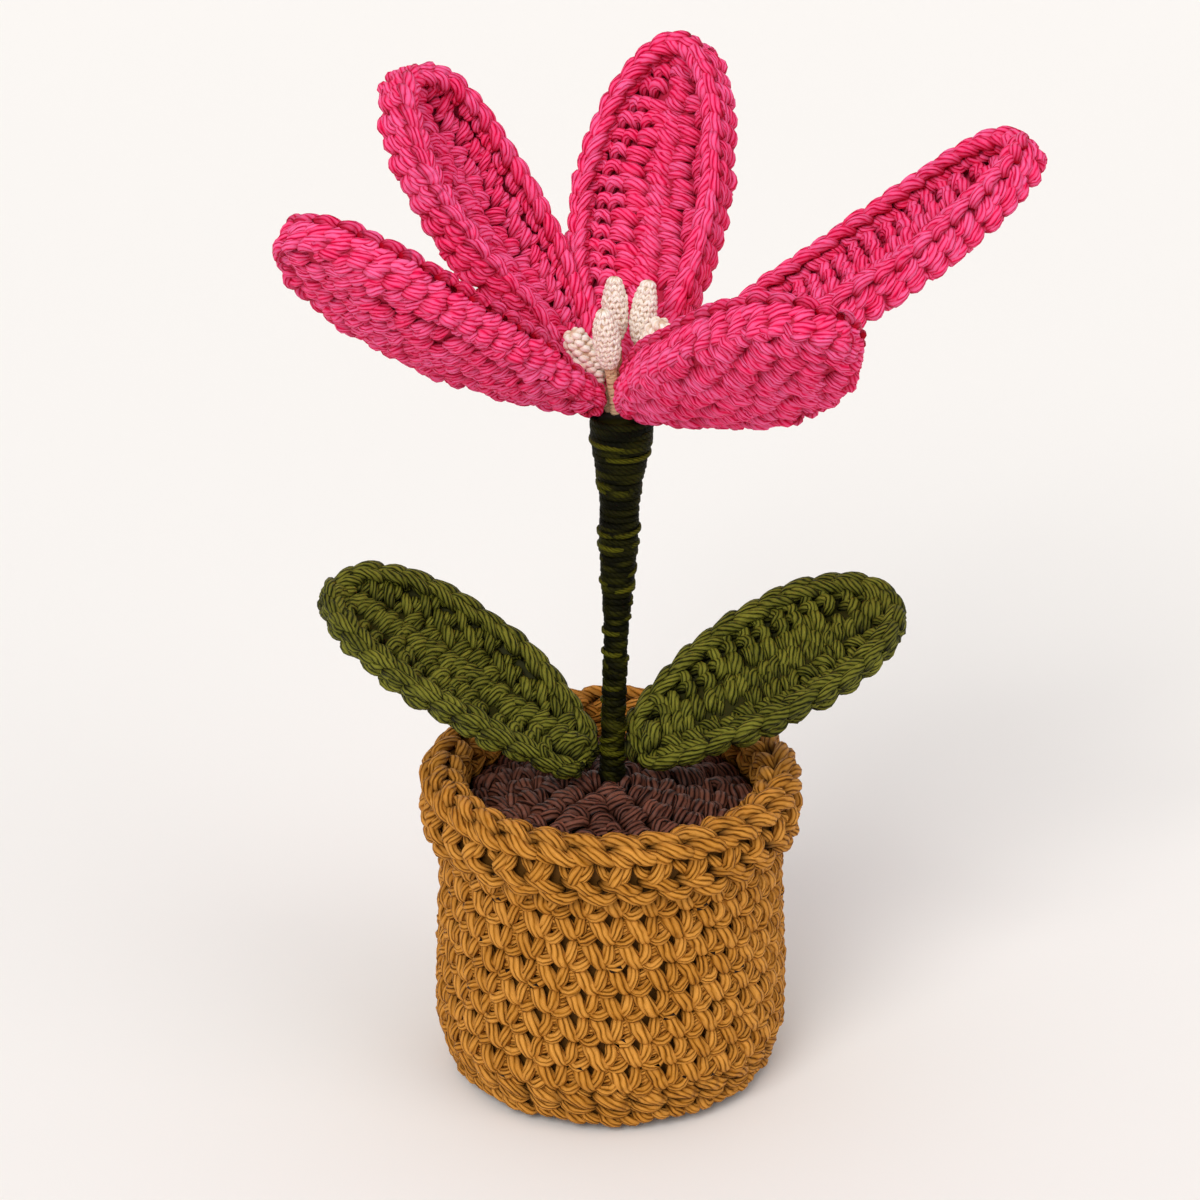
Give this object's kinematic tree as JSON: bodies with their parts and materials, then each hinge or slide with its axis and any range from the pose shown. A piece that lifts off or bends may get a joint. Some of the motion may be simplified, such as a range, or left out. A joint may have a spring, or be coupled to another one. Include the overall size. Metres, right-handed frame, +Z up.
{
  "type": "potted lily",
  "caption": "Crocheted lily with wired cupped petals and leaves on a thread-wrapped stem, standing in a stuffed crocheted pot with a folded rim",
  "frame": {"origin": "centre of the pot's flat underside", "axes": "+Z up, -Y towards the viewer at the front, +X to the right; the pot's axis is +Z"},
  "size_m": [0.1259, 0.1042, 0.1778],
  "materials": {
    "pot_cotton": "ochre mercerised cotton yarn, crocheted",
    "soil_cotton": "dark brown glossy cotton yarn, crocheted",
    "leaf_cotton": "dark olive cotton yarn, crocheted",
    "petal_cotton": "hot pink cotton yarn, crocheted",
    "stem_thread": "dark green thread, wound",
    "stamen_cotton": "cream felted yarn",
    "fibrefill": "white polyester fibre filling",
    "steel_wire": "galvanised craft wire"
  },
  "bodies": {
    "root": {"pot": "pot_cotton", "pot_stuffing": "fibrefill", "soil": "soil_cotton", "stem_wire": "steel_wire", "stem_wrap": "stem_thread", "petal_1": "petal_cotton", "petal_2": "petal_cotton", "petal_3": "petal_cotton", "petal_4": "petal_cotton", "petal_5": "petal_cotton", "leaf_left": "leaf_cotton", "leaf_right": "leaf_cotton", "petal_1_wire": "steel_wire", "petal_2_wire": "steel_wire", "petal_3_wire": "steel_wire", "petal_4_wire": "steel_wire", "petal_5_wire": "steel_wire", "leaf_left_wire": "steel_wire", "leaf_right_wire": "steel_wire", "stamen_1": "stamen_cotton", "stamen_2": "stamen_cotton", "stamen_3": "stamen_cotton", "stamen_4": "stamen_cotton", "stamen_5": "stamen_cotton"}
  },
  "joints": []
}
